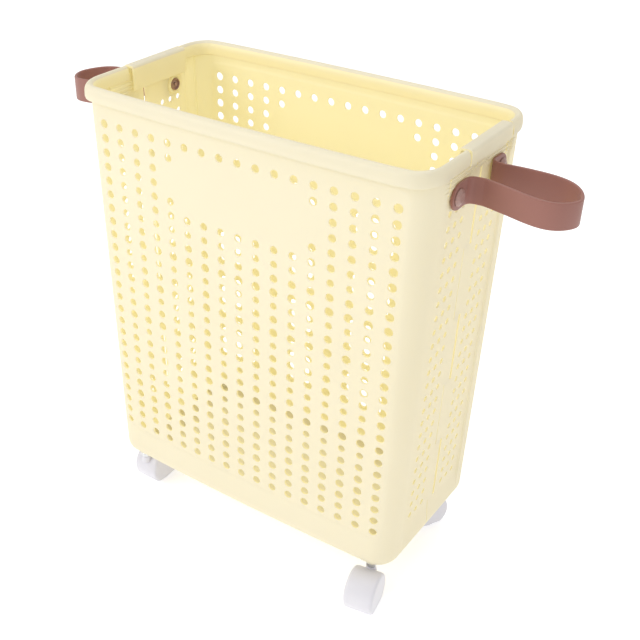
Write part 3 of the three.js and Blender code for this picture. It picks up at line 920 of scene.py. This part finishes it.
def strap_line():
    """Plan points of the right strap's middle line, from one tab to the other, evenly resampled."""
    middle = TAB_X + STRAP_THICKNESS / 2
    front = [
        (middle, -TAB_END_Y), (middle, -0.049), (middle, -0.042), (middle, -0.034),
        (middle + 0.0004, -0.0275), (middle + 0.0040, -0.0226), (FLEX_X - 0.006, -0.0209), (FLEX_X, -0.0213),
        (0.238, -0.0245), (0.262, -0.0278), (0.279, -0.0254), (0.291, -0.0155),
    ]
    keys = front + [(LOOP_TIP_X, 0.0)] + [(x, -y) for x, y in reversed(front)]
    points = []
    for a, b, c, d in zip([keys[0]] + keys, keys, keys[1:], keys[2:] + [keys[-1]]):
        for k in range(8):
            points.append(spline_point(a, b, c, d, k / 8))
    points.append(Vector(keys[-1]))
    return points


def spline_point(a, b, c, d, t):
    """A point between b and c on a smooth line through a, b, c and d."""
    a, b, c, d = Vector(a), Vector(b), Vector(c), Vector(d)
    square = 2 * a - 5 * b + 4 * c - d
    cube = 3 * b - a - 3 * c + d
    return 0.5 * (2 * b + (c - a) * t + square * t**2 + cube * t**3)


def strap_half_height(distance):
    """The strap's half width at a distance from its round end."""
    half = STRAP_WIDTH / 2
    if distance >= half:
        return half
    return math.sqrt(max(half**2 - (half - distance) ** 2, 1e-8))


def strap_section(point, across, half_height, drop):
    """A rounded rectangle across the strap."""
    edge = min(0.0011, half_height * 0.6)
    half = STRAP_THICKNESS / 2
    section = []
    for quarter, (su, sz) in enumerate(((1, 1), (-1, 1), (-1, -1), (1, -1))):
        for k in range(5):
            angle = math.pi / 2 * (quarter + k / 4)
            u = su * (half - edge) + edge * math.cos(angle)
            z = sz * (half_height - edge) + edge * math.sin(angle)
            place = point + across * u
            section.append((place.x, place.y, HANDLE_Z - drop + z))
    return section


def strap_sections():
    points = strap_line()
    lengths = [0.0]
    for a, b in zip(points, points[1:]):
        lengths.append(lengths[-1] + (b - a).length)
    total = lengths[-1]
    end = STRAP_WIDTH / 2
    tips = [end * (1 - math.cos(math.pi / 2 * k / 10)) for k in range(11)]
    tips[0] = 0.00002
    between = [v for v in lengths if end + 0.001 < v < total - end - 0.001]
    stops = tips + between + [total - v for v in reversed(tips)]
    sections = []
    for stop in stops:
        k = max(i for i in range(len(lengths) - 1) if lengths[i] <= stop)
        t = (stop - lengths[k]) / (lengths[k + 1] - lengths[k])
        point = points[k].lerp(points[k + 1], t)
        along = (points[min(k + 2, len(points) - 1)] - points[max(k - 1, 0)]).normalized()
        across = Vector((along.y, -along.x))
        reach = max(0.0, (point.x - FLEX_X) / (LOOP_TIP_X - FLEX_X))
        half_height = strap_half_height(min(stop, total - stop))
        sections.append(strap_section(point, across, half_height, STRAP_DROOP * reach**1.6))
    return sections


def add_strap(end, side):
    skin = Skin()
    skin.sweep([[(side * x, side * y, z) for x, y, z in section] for section in strap_sections()])
    nodes = [f"{end}_handle_front_end", f"{end}_handle_rear_end", f"{end}_handle_loop"]
    strap = add_piece(f"{end}_strap_handle", skin.mesh(f"{end}_strap", 60), STRAP, None, "strap", *nodes)
    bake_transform(strap)


def outwards(side, x, y, z):
    """A placing matrix that points a turned solid's height away from an end wall."""
    return Matrix.Translation((side * x, y, z)) @ Matrix.Rotation(side * math.pi / 2, 4, "Y")


def add_rivet(name, side, y):
    skin = Skin()
    tip = PANEL_X - WALL - 0.0026 - HEAD_X
    profile = [
        (0, tip), (0.0023, tip), (0.0023, 0), (0.0082, 0), (0.0084, 0.0003), (0.0083, 0.0011),
        (0.0050, 0.0032), (0.0045, 0.0033), (0.0030, 0.0030), (0, 0.0029),
    ]
    skin.turn(profile, 12, outwards(side, HEAD_X, y, HANDLE_Z))
    rivet = add_piece(f"{name}_visual", skin.mesh(name, 15), RIVET, "basket", "rivet", name)
    add_bevel(rivet, 0.00025, 2, 12)


def add_rivet_cap(name, side, y):
    skin = Skin()
    profile = [
        (0.0026, -0.0004), (0.0048, -0.0006), (0.0054, -0.0026), (0.0060, -0.0026), (0.0066, -0.0018),
        (0.0068, -0.0006), (0.0068, 0), (0.0026, 0),
    ]
    skin.turn(profile, 36, outwards(side, PANEL_X - WALL - 0.0003, y, HANDLE_Z))
    add_piece(f"{name}_visual", skin.mesh(name), RIVET, "basket", "rivet", name)


def add_handle(end, side):
    add_strap(end, side)
    for row, y in (("front", -RIVET_Y), ("rear", RIVET_Y)):
        add_rivet(f"{end}_{row}_rivet", side, y)
        add_rivet_cap(f"{end}_{row}_rivet_cap", side, y)


# ---- Casters ---------------------------------------------------------------------------------
# Each caster is drawn with its stem on the Z axis, trailing along +X, with its axle along Y.

HOOD_RADIUS = 0.024
HOOD_HALF_WIDTH = 0.0172
HOOD_BOTTOM = 0.005
HOOD_CAVITY_RADIUS = 0.0223
HOOD_SKIN = 0.0015
HOOD_WEB = 0.003
HOOD_ROUNDING = 0.0038
AT_AXLE = Matrix.Translation((CASTER_TRAIL, 0, WHEEL_RADIUS)) @ Matrix.Rotation(-math.pi / 2, 4, "X")


def arc(centre_r, centre_h, radius, first, last, steps):
    """Profile points on an arc, between two angles in degrees."""
    angles = [math.radians(first + (last - first) * k / steps) for k in range(steps + 1)]
    return [(centre_r + radius * math.cos(a), centre_h + radius * math.sin(a)) for a in angles]


def hood_drum():
    """The drum with its two wheel spaces, cut off below."""
    round_edge = HOOD_ROUNDING
    skin = Skin()
    side = HOOD_HALF_WIDTH
    profile = [(0, -side), (0.012, -side)]
    profile += arc(HOOD_RADIUS - round_edge, -side + round_edge, round_edge, -90, 0, 6)
    profile += arc(HOOD_RADIUS - round_edge, side - round_edge, round_edge, 0, 90, 6)
    profile += [(0.012, side), (0, side)]
    skin.turn(profile, 64, Matrix.Identity(4))
    inner = HOOD_HALF_WIDTH - HOOD_SKIN
    for sign in (-1, 1):
        near = HOOD_WEB / 2
        cavity = [(0, sign * near), (HOOD_CAVITY_RADIUS, sign * near)]
        cavity += [(r, sign * h) for r, h in arc(HOOD_CAVITY_RADIUS - 0.003, inner - 0.003, 0.003, 0, 90, 4)]
        cavity += [(0, sign * inner)]
        skin.turn(cavity, 64, Matrix.Identity(4))
    return skin


def hood_mesh(name):
    drum = hood_drum()
    data = bpy.data.meshes.new(name)
    data.from_pydata(drum.points, [], drum.faces)
    work = bmesh.new()
    work.from_mesh(data)
    bmesh.ops.transform(work, matrix=AT_AXLE, verts=work.verts)
    everything = [*work.verts, *work.edges, *work.faces]
    cut = bmesh.ops.bisect_plane(
        work, geom=everything, plane_co=(0, 0, HOOD_BOTTOM), plane_no=(0, 0, 1), clear_inner=True
    )
    rim = [item for item in cut["geom_cut"] if isinstance(item, bmesh.types.BMEdge)]
    bmesh.ops.triangle_fill(work, use_beauty=True, use_dissolve=True, edges=rim, normal=(0, 0, -1))
    bmesh.ops.recalc_face_normals(work, faces=work.faces)
    work.to_mesh(data)
    work.free()
    neck = Skin()
    profile = [
        (0, 0.035), (0.0066, 0.035), (0.0062, 0.0375), (0.0058, 0.0395), (0.0056, 0.0410), (0.0056, 0.0422),
        (0.0052, 0.0429), (0.0046, 0.0430), (0, 0.0430),
    ]
    neck.turn(profile, 40, Matrix.Identity(4))
    return join_meshes(name, data, neck.mesh("neck"))


def join_meshes(name, *parts):
    work = bmesh.new()
    for part in parts:
        work.from_mesh(part)
    data = bpy.data.meshes.new(name)
    work.to_mesh(data)
    work.free()
    for part in parts:
        bpy.data.meshes.remove(part)
    data.polygons.foreach_set("use_smooth", [True] * len(data.polygons))
    data.set_sharp_from_angle(angle=math.radians(32))
    return data


def wheel_mesh(name, sign):
    near = HOOD_WEB / 2 + 0.0003
    far = near + 0.0136
    crown = 0.0030
    profile = [(0.0023, near), (WHEEL_RADIUS - 0.0012, near), (WHEEL_RADIUS, near + 0.0012)]
    profile += arc(WHEEL_RADIUS - crown, far - crown, crown, 0, 90, 5)
    profile += [(0.0150, far), (0.0142, far - 0.0007), (0.0060, far - 0.0007), (0.0052, far), (0.0023, far)]
    skin = Skin()
    skin.turn([(r, sign * h) for r, h in profile], 64, AT_AXLE)
    return skin.mesh(name)


def stem_mesh(name):
    skin = Skin()
    profile = [
        (0, 0.0433), (0.0056, 0.0433), (0.0062, 0.0440), (0.0062, 0.0487), (0.0056, 0.0494), (0.0038, 0.0494),
        (0.0038, 0.0586), (0.0034, 0.0590), (0, 0.0590),
    ]
    skin.turn(profile, 40, Matrix.Identity(4))
    return skin.mesh(name)


def socket_mesh(name):
    skin = Skin()
    profile = [
        (0.0041, 0.0497), (0.0070, 0.0497), (0.0074, 0.0501), (0.0074, SHELL_BOTTOM - 0.0006),
        (0.0070, SHELL_BOTTOM - 0.0003), (0.0056, SHELL_BOTTOM - 0.0003), (0.0056, 0.0575), (0.0041, 0.0575),
    ]
    skin.turn(profile, 40, Matrix.Identity(4))
    return skin.mesh(name)


def axle_mesh(name):
    half = HOOD_HALF_WIDTH - 0.0011
    skin = Skin()
    skin.turn([(0, -half), (0.002, -half), (0.002, half), (0, half)], 24, AT_AXLE)
    return skin.mesh(name)


def add_caster(name, x, y, heading):
    turn = Matrix.Rotation(math.radians(heading), 4, "Z")
    place = Matrix.Translation((x * CASTER_X, y * CASTER_Y, 0)) @ turn
    body = f"{name}_caster"
    pieces = (
        (f"{name}_stem_socket", socket_mesh, CREAM, "basket", "cream"),
        (f"{name}_caster_stem", stem_mesh, STEEL, body, "steel"),
        (f"{name}_caster_hood", hood_mesh, NYLON, body, "nylon"),
        (f"{name}_caster_axle", axle_mesh, STEEL, body, "steel"),
        (f"{name}_left_wheel", lambda n: wheel_mesh(n, 1), NYLON, f"{name}_left_wheel", "nylon"),
        (f"{name}_right_wheel", lambda n: wheel_mesh(n, -1), NYLON, f"{name}_right_wheel", "nylon"),
    )
    for node, make, material, owner, slot in pieces:
        data = make(f"{node}_mesh")
        data.transform(place)
        add_piece(f"{node}_visual", data, material, owner, slot, node)


# ---- Studio ----------------------------------------------------------------------------------

# The camera's sensor and lens are in millimetres, and its shifts are parts of the picture's side
SENSOR = 36.0
LENS = 56.665125
SHIFT_X = 0.0680625
SHIFT_Y = 0.054015625
AIM = Vector((-0.02205, 0.0, 0.20716))
DISTANCE = 1.17383
AZIMUTH = 35.044
ELEVATION = 33.197
ROLL = 0.524
FLOOR_RADIUS = 9.0


def add_camera():
    azimuth = math.radians(AZIMUTH)
    elevation = math.radians(ELEVATION)
    roll = math.radians(ROLL)
    back = Vector((
        math.sin(azimuth) * math.cos(elevation),
        -math.cos(azimuth) * math.cos(elevation),
        math.sin(elevation),
    ))
    level = Vector((math.cos(azimuth), math.sin(azimuth), 0))
    down = (-back).cross(level)
    right = level * math.cos(roll) - down * math.sin(roll)
    up = -(level * math.sin(roll) + down * math.cos(roll))
    data = bpy.data.cameras.new("camera")
    data.sensor_width = SENSOR
    data.lens = LENS
    data.shift_x = SHIFT_X
    data.shift_y = SHIFT_Y
    camera = bpy.data.objects.new("camera", data)
    bpy.context.scene.collection.objects.link(camera)
    turn = Matrix((right, up, back)).transposed()
    camera.matrix_world = Matrix.Translation(AIM + back * DISTANCE) @ turn.to_4x4()
    bpy.context.scene.camera = camera


def add_panel_light(name, place, target, size, watts, colour):
    data = bpy.data.lights.new(name, "AREA")
    data.shape = "RECTANGLE"
    data.size, data.size_y = size
    data.energy = watts
    data.color = colour
    light = bpy.data.objects.new(name, data)
    bpy.context.scene.collection.objects.link(light)
    light.location = place
    light.rotation_euler = (Vector(target) - Vector(place)).to_track_quat("-Z", "Y").to_euler()


def add_floor():
    """A wide round floor, almost white."""
    skin = Skin()
    around = [2 * math.pi * k / 64 for k in range(64)]
    edge = [(FLOOR_RADIUS * math.cos(a), FLOOR_RADIUS * math.sin(a), 0) for a in around]
    skin.faces.append(tuple(skin.add_loop(edge)))
    floor_data = bpy.data.meshes.new("studio_floor")
    floor_data.from_pydata(skin.points, [], skin.faces)
    material, tree, shader = principled("white studio floor")
    coordinates = tree.nodes.new("ShaderNodeTexCoord")
    tones = two_tones(tree, noise(tree, coordinates, 1.2, 2.0), (0.955, 0.955, 0.955), (0.965, 0.965, 0.965))
    tree.links.new(tones.outputs["Color"], shader.inputs["Base Color"])
    shader.inputs["Roughness"].default_value = 0.9
    shader.inputs["Specular IOR Level"].default_value = 0.1
    shader.inputs["Emission Color"].default_value = (1.0, 1.0, 1.0, 1)
    shader.inputs["Emission Strength"].default_value = 0.36
    floor_data.materials.append(material)
    floor = bpy.data.objects.new("studio_floor", floor_data)
    bpy.context.scene.collection.objects.link(floor)


def add_studio():
    add_floor()
    world = bpy.data.worlds.new("studio")
    bpy.context.scene.world = world
    world.use_nodes = True
    background = world.node_tree.nodes["Background"]
    background.inputs["Color"].default_value = (1.0, 1.0, 1.0, 1)
    background.inputs["Strength"].default_value = 0.70

    add_panel_light("key", (-1.5, -2.1, 1.9), (0, 0, 0.3), (1.6, 1.6), 27, (1.0, 0.99, 0.97))
    add_panel_light("top", (0.1, 0.1, 2.6), (0, 0, 0.3), (1.8, 1.8), 13, (1.0, 1.0, 1.0))
    bpy.context.scene.view_settings.view_transform = "Standard"


# ---- Assembly --------------------------------------------------------------------------------

add_camera()
add_shells()
add_floor_tray()
add_rim_clip("right_rim_clip", 1)
add_rim_clip("left_rim_clip", -1)
add_handle("right", 1)
add_handle("left", -1)
for caster in CASTERS:
    add_caster(*caster)
add_studio()
